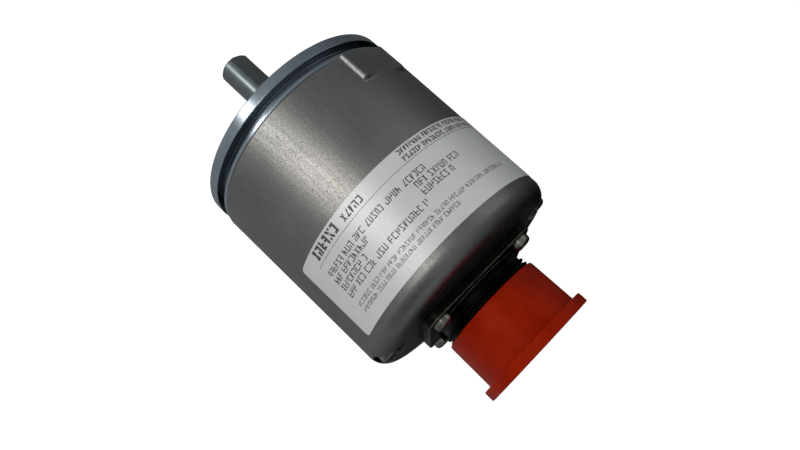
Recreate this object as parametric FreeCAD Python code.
"""Rotary shaft encoder, 63.5 mm size, with an end-mount receptacle and its push-on dust cap.

Frame: millimetres, +Z up. The shaft axis is the Y axis, with the shaft's nose towards -Y and the
receptacle towards +Y. The origin is the centre of the flange's mounting face. Angles around the
axis are counted from +Z towards -X.
"""
import FreeCAD, Part
import math
import os

Vec = FreeCAD.Vector
ORIGIN = Vec(0, 0, 0)
AXIS = Vec(0, 1, 0)
BACK_AXIS = Vec(0, -1, 0)
UP = Vec(0, 0, 1)

# ---- driving dimensions -------------------------------------------------------------------
# flange and pilot
FLANGE_R = 31.75
PILOT_R = 15.875
PILOT_FRONT = -6.35
RIM_REAR = 3.1
CLEAT_GROOVE_R = 29.2
CLEAT_GROOVE_REAR = 5.8
SHOULDER_REAR = 7.0
DECK = 12.0
SPIGOT_R = 29.6
O_RING_GROOVE = 8.4
O_RING_GROOVE_REAR = 9.9
O_RING_GROOVE_R = 28.6
O_RING_SECTION_R = 0.55
HUB_OUTER_R = 16.5
HUB_REAR = 29.0
FACE_HOLE_PCR = 23.8125
FACE_HOLE_R = 2.02
FACE_HOLE_DEPTH = 5.6

# shaft
SHAFT_R = 4.7625
SHAFT_TIP = -29.5
SHAFT_CHAMFER = 0.6
SHAFT_FLAT_LENGTH = 12.7
SHAFT_FLAT_DEPTH = 0.762
SHAFT_FLAT_ANGLE = 31.3
SEAL_LAND_R = 4.55
SHAFT_STEP = 28.9
SHAFT_END_R = 4.0
SHAFT_END = 39.0

# shaft seal
SEAL_FRONT = -6.1
SEAL_REAR = -2.0
SEAL_CASE_T = 0.7
SEAL_LIP_R = 4.59
SEAL_INNER_R = 7.4
GARTER_STATION = -3.5
GARTER_R = 6.75
GARTER_WIRE_R = 0.45

# bearings
BEARING_R = 11.1125
BEARING_WIDTH = 7.142
FRONT_BEARING = 0.6
REAR_BEARING = 20.9
PITCH_R = 7.9375
BALL_R = 1.984
BALL_COUNT = 7
RACE_R = 2.0
OUTER_RING_INNER_R = 9.6
INNER_RING_OUTER_R = 6.3
BEARING_STOP_R = 9.4
CAGE_HALF_WIDTH = 2.5
CAGE_R = (7.25, 8.65)
SHIELD_INSET = 0.25
SHIELD_T = 0.4
WAVE_SPRING_FRONT = 19.5
WAVE_SPRING_T = 0.4
WAVE_SPRING_R = (9.7, 11.0)
RETAINING_RING_T = 0.7
RETAINING_GROOVE_R = 4.45

# code disc and optics
DISC_HUB_FRONT = 29.2
DISC_HUB_R = 7.5
DISC_SEAT_FRONT = 34.5
DISC_SEAT_R = 10.5
SET_SCREW_STATION = 31.8
SET_SCREW_R = 1.5
DISC_FRONT = 36.5
DISC_T = 1.0
DISC_R = 22.0
DISC_BORE_R = 5.85
OPTICS_ANGLE = 60.0
OPTICS_R = 19.6
LIGHT_SOURCE = 33.5
LIGHT_SOURCE_RIM = 34.3
LIGHT_SOURCE_R = 2.0
MASK = 37.9
DETECTOR = 38.7
HOLDER_WIDTH = 8.0
HOLDER_FOOT_T = 2.0
HOLDER_SCREW_PCR = 25.8

# boards
SENSOR_BOARD = 40.5
MAIN_BOARD = 48.0
BOARD_T = 1.6
BOARD_R = 28.2
STANDOFF_ANGLES = (0.0, 120.0, 240.0)
STANDOFF_PCR = 25.2
STANDOFF_R = 2.5
STUD_R = 1.25
STUD_LENGTH = 4.0
CHIP_ROW_Z = -17.0
CHIP_COLUMNS = (-7.5, 0.0, 7.5)
CAPACITOR_SPOTS = ((-16.0, -12.0), (16.0, -12.0), (-9.0, 17.5))
BOARD_LINK_WIDTH = 17.8

# cover
COVER_FRONT = 7.2
COVER_FRONT_R = 32.0
COVER_REAR_R = 31.2
COVER_REAR = 64.6
COVER_EDGE_R = 4.5
COVER_WALL_END = 62.0
COVER_BORE_R = 29.7
COVER_BORE_REAR_R = 29.2
PAD_ANGLE = 40.3
PAD_WIDTH = 16.0
PAD_REAR = 16.2
PAD_TOP_R = 32.08
COVER_SCREW_ANGLES = (84.0, 276.0)
COVER_SCREW_PCR = 27.0
POCKET_FLOOR = 61.5
POCKET_R = 4.5
BOSS_R = 5.4
BOSS_FRONT = 58.0
NUT_BOSS_FRONT = 60.0
NUT_BOSS_R = 3.2
POST_R = 1.9
POST_STUD_R = 1.0
THREAD_R = 1.42

# label
LABEL_FRONT = 35.5
LABEL_REAR = 58.6
LABEL_FROM = -64.7
LABEL_TO = 70.0
LABEL_T = 0.12
LABEL_CORNER_R = 1.0

# receptacle
FLANGE_SIDE = 34.93
FLANGE_CORNER_R = 4.0
GASKET_T = 0.8
SHELL_FLANGE_REAR = 68.0
SHELL_HOLE_PCR = 19.07
SHELL_HOLE_R = 1.525
SHELL_NECK_R = 13.6
THREAD_START = 70.3
BARREL_THREAD_R = 14.29
SHELL_MOUTH = 83.5
SHELL_BACK = 56.5
SHELL_BACK_R = 12.6
INSERT_R = 11.2
INSERT_FRONT = 57.0
INSERT_REAR = 75.0
SOCKET_R = 12.3
KEY_WIDTH = 2.6
OUTER_CONTACTS = 7
OUTER_CONTACT_R = 7.9
INNER_CONTACTS = 3
INNER_CONTACT_R = 3.4
PIN_R = 0.794
PIN_BODY_R = 1.25
PIN_TIP = 80.3
CUP_FRONT = 53.2
CUP_DEPTH = 2.5
CUP_R = 0.85
WIRE_R = 0.5

# dust cap
CAP_LIP = 73.0
CAP_FLANGE = 86.7
CAP_END = 89.6
CAP_BORE_R = 14.35
CAP_LIP_R = 15.0
CAP_BODY_R = 15.17
CAP_FLANGE_R = 17.25


# ---- building blocks ----------------------------------------------------------------------
def on_circle(angle, radius, y):
    """Point at this angle and radius from the shaft axis, at station y."""
    turn = math.radians(angle)
    return Vec(-math.sin(turn) * radius, y, math.cos(turn) * radius)


def turned(profile, sweep=360.0):
    """Solid of revolution about the shaft axis, from a closed outline of (y, radius) points."""
    points = [Vec(0, y, radius) for y, radius in profile]
    face = Part.Face(Part.makePolygon(points + [points[0]]))
    return face.revolve(ORIGIN, BACK_AXIS, sweep)


def ring(front, rear, outer, inner=0.0):
    """Plain ring or disc on the shaft axis."""
    disc = Part.makeCylinder(outer, rear - front, Vec(0, front, 0), AXIS)
    if inner:
        disc = disc.cut(Part.makeCylinder(inner, rear - front, Vec(0, front, 0), AXIS))
    return disc


def rod(angle, radius, front, rear, r):
    """Cylinder parallel to the shaft axis, set off from it."""
    return Part.makeCylinder(r, rear - front, on_circle(angle, radius, front), AXIS)


def torus(y, radius, r):
    """Ring of round section on the shaft axis."""
    return Part.makeTorus(radius, r, Vec(0, y, 0), AXIS)


def block(front, rear, inner, outer, width, angle=0.0):
    """Box between two distances from the axis, centred on this angle."""
    box = Part.makeBox(width, rear - front, outer - inner, Vec(-width / 2, front, inner))
    return spun(box, angle)


def spun(shape, angle):
    """Copy turned about the shaft axis, from +Z towards -X."""
    turned_copy = shape.copy()
    turned_copy.rotate(ORIGIN, BACK_AXIS, angle)
    return turned_copy


def around(shape, angles):
    """The same piece at several angles."""
    return [spun(shape, angle) for angle in angles]


def hexagon(angle, radius, front, rear, across):
    """Hexagonal bar parallel to the shaft axis, with one corner away from it."""
    centre = on_circle(angle, radius, front)
    corner_r = across / math.sqrt(3)
    corners = [centre + on_circle(angle + 60 * i, corner_r, 0) for i in range(7)]
    return Part.Face(Part.makePolygon(corners)).extrude(Vec(0, rear - front, 0))


def pan_screw(head_r, head_height, shank_r, length):
    """Cross-recess pan head screw: its head starts at y = 0 and its shank runs towards -Y."""
    head = Part.makeCylinder(head_r, head_height, ORIGIN, AXIS)
    top_edges = [edge for edge in head.Edges if edge.BoundBox.YMin > head_height - 0.01]
    head = head.makeFillet(0.45 * head_height, top_edges)
    slot_length = 1.15 * head_r
    slot_width = 0.32 * head_r
    for wide, deep in ((slot_length, slot_width), (slot_width, slot_length)):
        slot = Part.makeBox(wide, head_height, deep, Vec(-wide / 2, 0.45 * head_height, -deep / 2))
        head = head.cut(slot)
    shank = Part.makeCylinder(shank_r, length, Vec(0, -length, 0), AXIS)
    return head.fuse(shank)


def placed(shape, position):
    """Copy moved to a position."""
    moved = shape.copy()
    moved.translate(position)
    return moved


def save(node, solids):
    """Write one node: a single solid, or a group of separate ones."""
    shape = Part.makeCompound(solids) if isinstance(solids, list) else solids
    shape.exportStep("parts/" + node + ".step")


# ---- flange, pilot and bearing hub --------------------------------------------------------
def bearing_housing():
    """Turned die casting: pilot, servo flange, spigot for the cover, and the bearing hub."""
    front_stop = FRONT_BEARING + BEARING_WIDTH
    body = turned([
        (PILOT_FRONT, BEARING_R + 0.3),
        (PILOT_FRONT, PILOT_R - 0.5),
        (PILOT_FRONT + 0.5, PILOT_R),
        (0.0, PILOT_R),
        (0.0, FLANGE_R - 0.4),
        (0.4, FLANGE_R),
        (RIM_REAR - 0.3, FLANGE_R),
        (RIM_REAR, FLANGE_R - 0.3),
        (RIM_REAR, CLEAT_GROOVE_R),
        (CLEAT_GROOVE_REAR, CLEAT_GROOVE_R),
        (CLEAT_GROOVE_REAR, FLANGE_R - 0.4),
        (CLEAT_GROOVE_REAR + 0.4, FLANGE_R),
        (SHOULDER_REAR - 0.2, FLANGE_R),
        (SHOULDER_REAR, FLANGE_R - 0.2),
        (SHOULDER_REAR, SPIGOT_R),
        (O_RING_GROOVE, SPIGOT_R),
        (O_RING_GROOVE, O_RING_GROOVE_R),
        (O_RING_GROOVE_REAR, O_RING_GROOVE_R),
        (O_RING_GROOVE_REAR, SPIGOT_R),
        (DECK - 0.5, SPIGOT_R),
        (DECK, SPIGOT_R - 0.5),
        (DECK, HUB_OUTER_R + 1.0),
        (DECK + 1.0, HUB_OUTER_R),
        (HUB_REAR - 0.6, HUB_OUTER_R),
        (HUB_REAR, HUB_OUTER_R - 0.6),
        (HUB_REAR, BEARING_R + 0.3),
        (HUB_REAR - 0.3, BEARING_R),
        (WAVE_SPRING_FRONT, BEARING_R),
        (WAVE_SPRING_FRONT, BEARING_STOP_R),
        (front_stop, BEARING_STOP_R),
        (front_stop, BEARING_R),
        (PILOT_FRONT + 0.3, BEARING_R),
    ])
    face_hole = rod(0, FACE_HOLE_PCR, 0, FACE_HOLE_DEPTH, FACE_HOLE_R)
    standoff_hole = rod(0, STANDOFF_PCR, DECK - STUD_LENGTH, DECK, STUD_R)
    post_hole = rod(0, COVER_SCREW_PCR, DECK - STUD_LENGTH, DECK, POST_STUD_R)
    holder_hole = rod(OPTICS_ANGLE, HOLDER_SCREW_PCR, DECK - STUD_LENGTH, DECK, 1.1)
    holes = around(face_hole, (0, 90, 180, 270)) + around(standoff_hole, STANDOFF_ANGLES)
    holes += around(post_hole, COVER_SCREW_ANGLES) + [holder_hole]
    return body.cut(holes)


def shaft():
    """Ground steel shaft: flat near its tip, seal land, two ring grooves, stepped-down end."""
    front_groove = FRONT_BEARING - RETAINING_RING_T
    rear_groove = REAR_BEARING + BEARING_WIDTH
    body = turned([
        (SHAFT_TIP, 0.0),
        (SHAFT_TIP, SHAFT_R - SHAFT_CHAMFER),
        (SHAFT_TIP + SHAFT_CHAMFER, SHAFT_R),
        (SHAFT_TIP + SHAFT_FLAT_LENGTH, SHAFT_R),
        (PILOT_FRONT, SHAFT_R),
        (PILOT_FRONT + 0.2, SEAL_LAND_R),
        (front_groove, SEAL_LAND_R),
        (front_groove, RETAINING_GROOVE_R),
        (FRONT_BEARING, RETAINING_GROOVE_R),
        (FRONT_BEARING, SHAFT_R),
        (rear_groove, SHAFT_R),
        (rear_groove, RETAINING_GROOVE_R),
        (rear_groove + RETAINING_RING_T, RETAINING_GROOVE_R),
        (rear_groove + RETAINING_RING_T, SHAFT_R),
        (SHAFT_STEP, SHAFT_R),
        (SHAFT_STEP, SHAFT_END_R),
        (SHAFT_END - 0.5, SHAFT_END_R),
        (SHAFT_END, SHAFT_END_R - 0.5),
        (SHAFT_END, 0.0),
    ])
    flat_r = SHAFT_R - SHAFT_FLAT_DEPTH
    flat = block(SHAFT_TIP - 1, SHAFT_TIP + SHAFT_FLAT_LENGTH, flat_r, SHAFT_R + 1,
                 2 * SHAFT_R + 2, SHAFT_FLAT_ANGLE)
    return body.cut(flat)


def shaft_retaining_rings():
    """Two open rings: one ahead of the front inner ring, one behind the rear inner ring."""
    stations = (FRONT_BEARING - RETAINING_RING_T, REAR_BEARING + BEARING_WIDTH)
    rings = []
    for y in stations:
        closed = ring(y, y + RETAINING_RING_T, INNER_RING_OUTER_R - 0.2, RETAINING_GROOVE_R)
        gap = block(y, y + RETAINING_RING_T, 0, INNER_RING_OUTER_R, 3.4, 180)
        rings.append(closed.cut(gap))
    return rings


# ---- shaft seal ---------------------------------------------------------------------------
def seal_case():
    """Pressed steel case of the lip seal."""
    inner = BEARING_R - SEAL_CASE_T
    return turned([
        (SEAL_FRONT, BEARING_R),
        (SEAL_REAR, BEARING_R),
        (SEAL_REAR, inner),
        (SEAL_FRONT + SEAL_CASE_T, inner),
        (SEAL_FRONT + SEAL_CASE_T, SEAL_INNER_R),
        (SEAL_FRONT, SEAL_INNER_R),
    ])


def seal_lip():
    """Moulded lip, bonded to the edge of the case, running on the shaft."""
    spring_seat_r = GARTER_R - GARTER_WIRE_R
    heel = SEAL_REAR - 0.6
    return turned([
        (SEAL_FRONT, SEAL_INNER_R),
        (SEAL_FRONT + SEAL_CASE_T, SEAL_INNER_R),
        (SEAL_FRONT + 1.4, spring_seat_r),
        (heel, spring_seat_r),
        (heel, 5.5),
        (heel - 0.8, SEAL_LIP_R),
        (heel - 1.3, SEAL_LIP_R),
        (heel - 2.3, 5.2),
        (SEAL_FRONT, 5.9),
    ])


def garter_spring():
    """Coil spring round the lip, as a plain ring."""
    return torus(GARTER_STATION, GARTER_R, GARTER_WIRE_R)


# ---- ball bearings ------------------------------------------------------------------------
def bearing(front):
    """One deep-groove ball bearing, as its separate pieces."""
    rear = front + BEARING_WIDTH
    middle = front + BEARING_WIDTH / 2
    race = torus(middle, PITCH_R, RACE_R)
    ball = Part.makeSphere(BALL_R, on_circle(0, PITCH_R, middle))
    ball_space = Part.makeSphere(BALL_R + 0.05, on_circle(0, PITCH_R, middle))
    angles = [360 / BALL_COUNT * i for i in range(BALL_COUNT)]
    cage = ring(middle - CAGE_HALF_WIDTH, middle + CAGE_HALF_WIDTH, CAGE_R[1], CAGE_R[0])
    shield = ring(0, SHIELD_T, OUTER_RING_INNER_R, INNER_RING_OUTER_R + 0.1)
    return {
        "outer_ring": ring(front, rear, BEARING_R, OUTER_RING_INNER_R).cut(race),
        "inner_ring": ring(front, rear, INNER_RING_OUTER_R, SHAFT_R).cut(race),
        "balls": around(ball, angles),
        "cage": cage.cut(around(ball_space, angles)),
        "shields": [
            placed(shield, Vec(0, front + SHIELD_INSET, 0)),
            placed(shield, Vec(0, rear - SHIELD_INSET - SHIELD_T, 0)),
        ],
    }


def wave_spring():
    """Three-wave washer that preloads the rear bearing."""
    inner, outer = WAVE_SPRING_R
    lift = (REAR_BEARING - WAVE_SPRING_FRONT - WAVE_SPRING_T) / 2
    middle = (REAR_BEARING + WAVE_SPRING_FRONT) / 2
    steps = 36
    sections = []
    for i in range(steps):
        angle = 360 * i / steps
        y = middle + lift * math.sin(3 * math.radians(angle)) - WAVE_SPRING_T / 2
        top = y + WAVE_SPRING_T
        corners = [(y, inner), (top, inner), (top, outer), (y, outer), (y, inner)]
        sections.append(Part.makePolygon([on_circle(angle, r, at) for at, r in corners]))
    return Part.makeLoft(sections + [sections[0]], True, True)


# ---- code disc and its hub ----------------------------------------------------------------
def disc_hub():
    """Aluminium hub on the end of the shaft, with a seat for the code disc."""
    hub = turned([
        (DISC_HUB_FRONT, SHAFT_END_R),
        (DISC_HUB_FRONT, DISC_HUB_R),
        (DISC_SEAT_FRONT, DISC_HUB_R),
        (DISC_SEAT_FRONT, DISC_SEAT_R),
        (DISC_FRONT, DISC_SEAT_R),
        (DISC_FRONT, DISC_BORE_R),
        (DISC_FRONT + DISC_T + 0.5, DISC_BORE_R),
        (DISC_FRONT + DISC_T + 0.5, SHAFT_END_R),
    ])
    screw_hole = Part.makeCylinder(SET_SCREW_R, 8.0, Vec(0, SET_SCREW_STATION, 0), UP)
    return hub.cut(around(screw_hole, (0, 90)))


def hub_set_screws():
    """Two socket set screws that grip the shaft."""
    screw = Part.makeCylinder(SET_SCREW_R, 3.3, Vec(0, SET_SCREW_STATION, SHAFT_END_R), UP)
    socket_r = SET_SCREW_R / 2
    turns = [math.radians(60 * i) for i in range(7)]
    corners = [Vec(socket_r * math.cos(turn), SET_SCREW_STATION + socket_r * math.sin(turn),
                   SHAFT_END_R + 1.8) for turn in turns]
    socket = Part.Face(Part.makePolygon(corners)).extrude(2 * UP)
    return around(screw.cut(socket), (0, 90))


def code_disc():
    """Glass disc that carries the fine radial pattern."""
    return ring(DISC_FRONT, DISC_FRONT + DISC_T, DISC_R, DISC_BORE_R)


# ---- optics -------------------------------------------------------------------------------
def light_source_holder():
    """Moulded bracket that stands on the deck and holds the light source under the disc."""
    column = block(DECK, LIGHT_SOURCE, HUB_OUTER_R + 1.2, 23.2, HOLDER_WIDTH, OPTICS_ANGLE)
    foot = block(DECK, DECK + HOLDER_FOOT_T, 20.0, 28.4, HOLDER_WIDTH, OPTICS_ANGLE)
    hole = rod(OPTICS_ANGLE, HOLDER_SCREW_PCR, DECK, DECK + HOLDER_FOOT_T, 1.15)
    return column.fuse(foot).cut(hole)


def light_source():
    """Infrared emitter with a domed lens, facing the code disc."""
    rim = LIGHT_SOURCE_RIM
    base = rod(OPTICS_ANGLE, OPTICS_R, LIGHT_SOURCE, rim, LIGHT_SOURCE_R + 0.6)
    barrel = rod(OPTICS_ANGLE, OPTICS_R, rim, rim + 0.7, LIGHT_SOURCE_R)
    dome = Part.makeSphere(LIGHT_SOURCE_R, on_circle(OPTICS_ANGLE, OPTICS_R, rim - 0.1))
    dome = dome.common(rod(OPTICS_ANGLE, OPTICS_R, rim, rim + 2.0, LIGHT_SOURCE_R))
    return base.fuse([barrel, dome])


def holder_screw():
    """Screw that holds the light source's bracket on the deck."""
    spot = on_circle(OPTICS_ANGLE, HOLDER_SCREW_PCR, DECK + HOLDER_FOOT_T)
    return placed(pan_screw(2.0, 1.5, 1.1, 5.0), spot)


def optics_block(front, rear, width, depth):
    """Flat rectangular piece of the sensor stack, over the light source."""
    return block(front, rear, OPTICS_R - depth / 2, OPTICS_R + depth / 2, width, OPTICS_ANGLE)


# ---- circuit boards -----------------------------------------------------------------------
def board(front, centre_hole_r):
    """Round board with screw holes, and scallops that clear the cover posts."""
    plate = ring(front, front + BOARD_T, BOARD_R, centre_hole_r)
    scallop = rod(0, COVER_SCREW_PCR, front, front + BOARD_T, POST_R + 0.7)
    hole = rod(0, STANDOFF_PCR, front, front + BOARD_T, STUD_R)
    return plate.cut(around(scallop, COVER_SCREW_ANGLES) + around(hole, STANDOFF_ANGLES))


def standoffs(front, rear, stud_length, screw_depth):
    """Three hexagonal standoffs with a stud below and a threaded hole above."""
    bar = hexagon(0, STANDOFF_PCR, front, rear, 2 * STANDOFF_R * math.cos(math.radians(30)))
    stud = rod(0, STANDOFF_PCR, front - stud_length, front, STUD_R)
    hole = rod(0, STANDOFF_PCR, rear - screw_depth, rear, STUD_R)
    return around(bar.fuse(stud).cut(hole), STANDOFF_ANGLES)


def board_screws():
    """Screws that hold the main board down."""
    screw = pan_screw(2.2, 1.6, STUD_R, BOARD_T + 3.5)
    spots = [on_circle(angle, STANDOFF_PCR, MAIN_BOARD + BOARD_T) for angle in STANDOFF_ANGLES]
    return [placed(screw, spot) for spot in spots]


def chip(x, z, wide, long, height):
    """One packaged chip on the rear face of the main board."""
    y = MAIN_BOARD + BOARD_T
    body = Part.makeBox(wide, height, long, Vec(x - wide / 2, y, z - long / 2))
    long_edges = [edge for edge in body.Edges if edge.BoundBox.YMin > y + height - 0.01]
    return body.makeChamfer(0.2, long_edges)


def capacitors():
    """Three round capacitors on the rear face of the main board."""
    y = MAIN_BOARD + BOARD_T
    return [Part.makeCylinder(2.0, 4.5, Vec(x, y, z), AXIS) for x, z in CAPACITOR_SPOTS]


def board_link():
    """Pin strip that joins the two boards."""
    front = SENSOR_BOARD + BOARD_T
    corner = Vec(-BOARD_LINK_WIDTH / 2, front, 15.0)
    return Part.makeBox(BOARD_LINK_WIDTH, MAIN_BOARD - front, 2.5, corner)


# ---- cover --------------------------------------------------------------------------------
def cover_radius(y):
    """Outer radius of the drafted cover wall at station y."""
    share = (y - COVER_FRONT) / (COVER_REAR - COVER_EDGE_R - COVER_FRONT)
    return COVER_FRONT_R + share * (COVER_REAR_R - COVER_FRONT_R)


def rounded_can(front, front_r, rear, rear_r, edge_r):
    """Closed can with a drafted wall and a rounded rear edge."""
    arc_start = Vec(0, rear - edge_r, rear_r)
    half = math.radians(45)
    arc_middle = Vec(0, rear - edge_r + edge_r * math.sin(half),
                     rear_r - edge_r + edge_r * math.cos(half))
    arc_end = Vec(0, rear, rear_r - edge_r)
    edges = [
        Part.makeLine(Vec(0, front, 0), Vec(0, front, front_r)),
        Part.makeLine(Vec(0, front, front_r), arc_start),
        Part.Arc(arc_start, arc_middle, arc_end).toShape(),
        Part.makeLine(arc_end, Vec(0, rear, 0)),
        Part.makeLine(Vec(0, rear, 0), Vec(0, front, 0)),
    ]
    return Part.Face(Part.Wire(edges)).revolve(ORIGIN, BACK_AXIS, 360)


def cover():
    """Die-cast can: pad at its front edge, screw pockets in its rear edge, receptacle seat."""
    outside = rounded_can(COVER_FRONT, COVER_FRONT_R, COVER_REAR, COVER_REAR_R, COVER_EDGE_R)
    inside = rounded_can(COVER_FRONT, COVER_BORE_R, COVER_WALL_END, COVER_BORE_REAR_R, 2.5)
    pad = block(COVER_FRONT, PAD_REAR, 20.0, PAD_TOP_R, PAD_WIDTH, 0)
    pad_top = [edge for edge in pad.Edges
               if edge.BoundBox.ZMin > PAD_TOP_R - 0.01 and edge.BoundBox.YMax > COVER_FRONT + 1]
    shell = outside.fuse(spun(pad.makeFillet(0.6, pad_top), PAD_ANGLE))
    boss = rod(0, COVER_SCREW_PCR, BOSS_FRONT, COVER_WALL_END + 0.5, BOSS_R)
    bosses = [piece.common(outside) for piece in around(boss, COVER_SCREW_ANGLES)]
    nut_bosses = [rod(45 + 90 * i, SHELL_HOLE_PCR, NUT_BOSS_FRONT, COVER_WALL_END + 0.5,
                      NUT_BOSS_R) for i in range(4)]
    shell = shell.cut(inside).fuse(bosses + nut_bosses)
    pocket = rod(0, COVER_SCREW_PCR, POCKET_FLOOR, COVER_REAR + 1, POCKET_R)
    screw_hole = rod(0, COVER_SCREW_PCR, BOSS_FRONT - 1, POCKET_FLOOR + 1, THREAD_R + 0.15)
    holes = around(pocket, COVER_SCREW_ANGLES) + around(screw_hole, COVER_SCREW_ANGLES)
    holes.append(ring(COVER_WALL_END - 1, COVER_REAR + 1, SHELL_BACK_R + 0.4))
    for i in range(4):
        holes.append(rod(45 + 90 * i, SHELL_HOLE_PCR, NUT_BOSS_FRONT - 1, COVER_REAR + 1, THREAD_R))
    return shell.cut(holes).removeSplitter()


def cover_o_ring():
    """Rubber ring in the spigot's groove, squeezed by the cover."""
    station = (O_RING_GROOVE + O_RING_GROOVE_REAR) / 2
    return torus(station, O_RING_GROOVE_R + O_RING_SECTION_R, O_RING_SECTION_R)


def cover_posts():
    """Two round posts that the cover screws pull against."""
    bar = rod(0, COVER_SCREW_PCR, DECK, BOSS_FRONT, POST_R)
    stud = rod(0, COVER_SCREW_PCR, DECK - STUD_LENGTH, DECK, POST_STUD_R)
    hole = rod(0, COVER_SCREW_PCR, BOSS_FRONT - 8.0, BOSS_FRONT, THREAD_R)
    return around(bar.fuse(stud).cut(hole), COVER_SCREW_ANGLES)


def cover_lock_washers():
    """Split washers under the cover screws."""
    flat = rod(0, COVER_SCREW_PCR, POCKET_FLOOR, POCKET_FLOOR + 0.7, 2.8)
    hole = rod(0, COVER_SCREW_PCR, POCKET_FLOOR, POCKET_FLOOR + 0.7, THREAD_R + 0.1)
    split = block(POCKET_FLOOR, POCKET_FLOOR + 0.7, COVER_SCREW_PCR, COVER_SCREW_PCR + 3, 0.5)
    return around(flat.cut([hole, split]), COVER_SCREW_ANGLES)


def cover_screws():
    """Two screws that hold the cover to its posts."""
    screw = pan_screw(3.0, 2.4, THREAD_R, 10.0)
    spots = [on_circle(angle, COVER_SCREW_PCR, POCKET_FLOOR + 0.7)
             for angle in COVER_SCREW_ANGLES]
    return [placed(screw, spot) for spot in spots]


def label():
    """Thin metallised label bent round the cover, with rounded corners."""
    front_r = cover_radius(LABEL_FRONT)
    rear_r = cover_radius(LABEL_REAR)
    strip = turned([
        (LABEL_FRONT, front_r),
        (LABEL_FRONT, front_r + LABEL_T),
        (LABEL_REAR, rear_r + LABEL_T),
        (LABEL_REAR, rear_r),
    ], LABEL_TO - LABEL_FROM)
    strip = spun(strip, LABEL_FROM)
    corners = [edge for edge in strip.Edges if edge.Length < 2 * LABEL_T]
    return strip.makeFillet(LABEL_CORNER_R, corners)


# ---- receptacle ---------------------------------------------------------------------------
def square_plate(front, rear):
    """Square plate with rounded corners and a hole in each."""
    half = FLANGE_SIDE / 2
    plate = Part.makeBox(FLANGE_SIDE, rear - front, FLANGE_SIDE, Vec(-half, front, -half))
    corners = [edge for edge in plate.Edges if edge.BoundBox.YLength > rear - front - 0.01]
    return plate.makeFillet(FLANGE_CORNER_R, corners)


def corner_holes(front, rear, r):
    """The four screw holes of the square flange."""
    return [rod(45 + 90 * i, SHELL_HOLE_PCR, front, rear, r) for i in range(4)]


def connector_gasket():
    """Flat rubber gasket under the receptacle's flange."""
    rear = COVER_REAR + GASKET_T
    plate = square_plate(COVER_REAR, rear)
    bore = ring(COVER_REAR, rear, SHELL_BACK_R + 0.4)
    return plate.cut([bore] + corner_holes(COVER_REAR, rear, SHELL_HOLE_R + 0.075))


def connector_shell():
    """Receptacle shell: square flange, keyed socket, back shell, and a barrel with its thread
    as a plain cylinder of the major diameter."""
    flange_front = COVER_REAR + GASKET_T
    barrel = turned([
        (SHELL_BACK, INSERT_R),
        (SHELL_BACK, SHELL_BACK_R),
        (flange_front, SHELL_BACK_R),
        (flange_front, SHELL_NECK_R),
        (THREAD_START, SHELL_NECK_R),
        (THREAD_START + 0.8, BARREL_THREAD_R),
        (SHELL_MOUTH - 0.8, BARREL_THREAD_R),
        (SHELL_MOUTH, BARREL_THREAD_R - 0.8),
        (SHELL_MOUTH, SOCKET_R),
        (INSERT_REAR, SOCKET_R),
        (INSERT_REAR, INSERT_R),
    ])
    plate = square_plate(flange_front, SHELL_FLANGE_REAR)
    plate = plate.cut([ring(flange_front, SHELL_FLANGE_REAR, SHELL_NECK_R - 0.5)]
                      + corner_holes(flange_front, SHELL_FLANGE_REAR, SHELL_HOLE_R))
    key_slot = block(INSERT_REAR + 0.5, SHELL_MOUTH, SOCKET_R - 1, SOCKET_R + 0.6, KEY_WIDTH)
    return barrel.fuse(plate).cut(key_slot)


def contact_spots():
    """Angle and radius of each contact: seven outside and three inside."""
    outer = [(360 / OUTER_CONTACTS * i, OUTER_CONTACT_R) for i in range(OUTER_CONTACTS)]
    inner = [(60 + 360 / INNER_CONTACTS * i, INNER_CONTACT_R) for i in range(INNER_CONTACTS)]
    return outer + inner


def connector_insert():
    """Moulded insulator that holds the contacts."""
    body = ring(INSERT_FRONT, INSERT_REAR, INSERT_R)
    holes = []
    for angle, radius in contact_spots():
        holes.append(rod(angle, radius, INSERT_FRONT, INSERT_REAR - 1.0, PIN_BODY_R))
        holes.append(rod(angle, radius, INSERT_REAR - 1.0, INSERT_REAR, PIN_R))
    return body.cut(holes)


def contact_pins():
    """Contacts with a solder cup in front and a round-tipped pin behind."""
    pins = []
    for angle, radius in contact_spots():
        body = rod(angle, radius, CUP_FRONT, INSERT_REAR - 1.0, PIN_BODY_R)
        pin = rod(angle, radius, INSERT_REAR - 1.0, PIN_TIP - PIN_R, PIN_R)
        tip = Part.makeSphere(PIN_R, on_circle(angle, radius, PIN_TIP - PIN_R))
        cup = rod(angle, radius, CUP_FRONT, CUP_FRONT + CUP_DEPTH, CUP_R)
        pins.append(body.fuse([pin, tip]).cut(cup))
    return pins


def connector_wires():
    """Short straight wires from the main board to the solder cups."""
    front = MAIN_BOARD + BOARD_T
    rear = CUP_FRONT + CUP_DEPTH - 0.5
    return [rod(angle, radius, front, rear, WIRE_R) for angle, radius in contact_spots()]


def connector_screws():
    """Four screws through the receptacle's flange into the cover."""
    screw = pan_screw(2.65, 2.0, THREAD_R, 7.0)
    spots = [on_circle(45 + 90 * i, SHELL_HOLE_PCR, SHELL_FLANGE_REAR)
             for i in range(4)]
    return [placed(screw, spot) for spot in spots]


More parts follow.
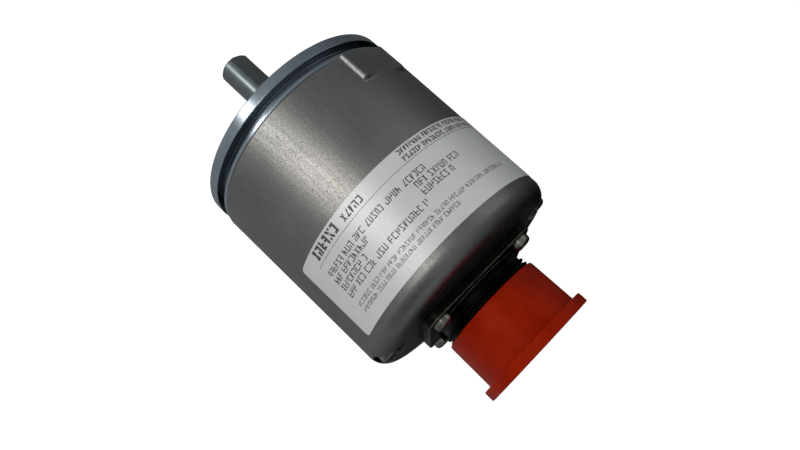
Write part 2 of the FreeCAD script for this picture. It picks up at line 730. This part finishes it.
# ---- dust cap -----------------------------------------------------------------------------
def dust_cap():
    """Soft plastic cup pushed over the thread, with a wide flange to pull it off by."""
    return turned([
        (CAP_LIP, CAP_BORE_R + 0.15),
        (CAP_LIP, CAP_LIP_R - 0.3),
        (CAP_LIP + 0.3, CAP_LIP_R),
        (CAP_FLANGE, CAP_BODY_R),
        (CAP_FLANGE, CAP_FLANGE_R - 0.15),
        (CAP_FLANGE + 0.15, CAP_FLANGE_R),
        (CAP_END - 0.15, CAP_FLANGE_R),
        (CAP_END, CAP_FLANGE_R - 0.15),
        (CAP_END, 12.5),
        (CAP_END - 0.8, 12.0),
        (CAP_END - 0.8, 0.0),
        (CAP_END - 2.2, 0.0),
        (CAP_END - 2.2, CAP_BORE_R - 0.8),
        (CAP_END - 3.0, CAP_BORE_R),
        (CAP_LIP + 0.15, CAP_BORE_R),
    ])


# ---- write the nodes ----------------------------------------------------------------------
def main():
    os.makedirs("parts", exist_ok=True)
    save("bearing_housing", bearing_housing())
    save("shaft", shaft())
    save("shaft_retaining_rings", shaft_retaining_rings())
    save("seal_case", seal_case())
    save("seal_lip", seal_lip())
    save("garter_spring", garter_spring())
    for place, front in (("front", FRONT_BEARING), ("rear", REAR_BEARING)):
        for piece, solids in bearing(front).items():
            save(place + "_bearing_" + piece, solids)
    save("wave_spring", wave_spring())
    save("disc_hub", disc_hub())
    save("hub_set_screws", hub_set_screws())
    save("code_disc", code_disc())
    save("light_source_holder", light_source_holder())
    save("light_source", light_source())
    save("holder_screw", holder_screw())
    save("reticle_mask", optics_block(MASK, DETECTOR, 9.0, 5.0))
    save("photodetector", optics_block(DETECTOR, SENSOR_BOARD, 11.0, 7.0))
    save("sensor_board", board(SENSOR_BOARD, 7.5))
    save("circuit_board", board(MAIN_BOARD, 1.5))
    save("lower_standoffs", standoffs(DECK, SENSOR_BOARD, STUD_LENGTH, 4.0))
    save("upper_standoffs", standoffs(SENSOR_BOARD + BOARD_T, MAIN_BOARD, BOARD_T + 2.0, 3.5))
    save("board_screws", board_screws())
    save("driver_chips", [chip(x, CHIP_ROW_Z, 6.0, 9.0, 1.8) for x in CHIP_COLUMNS])
    save("regulator", chip(9.0, 17.0, 7.0, 6.5, 2.3))
    save("capacitors", capacitors())
    save("board_link", board_link())
    save("cover", cover())
    save("cover_o_ring", cover_o_ring())
    save("cover_posts", cover_posts())
    save("cover_lock_washers", cover_lock_washers())
    save("cover_screws", cover_screws())
    save("label", label())
    save("connector_gasket", connector_gasket())
    save("connector_shell", connector_shell())
    save("connector_insert", connector_insert())
    save("contact_pins", contact_pins())
    save("connector_wires", connector_wires())
    save("connector_screws", connector_screws())
    save("dust_cap", dust_cap())


main()
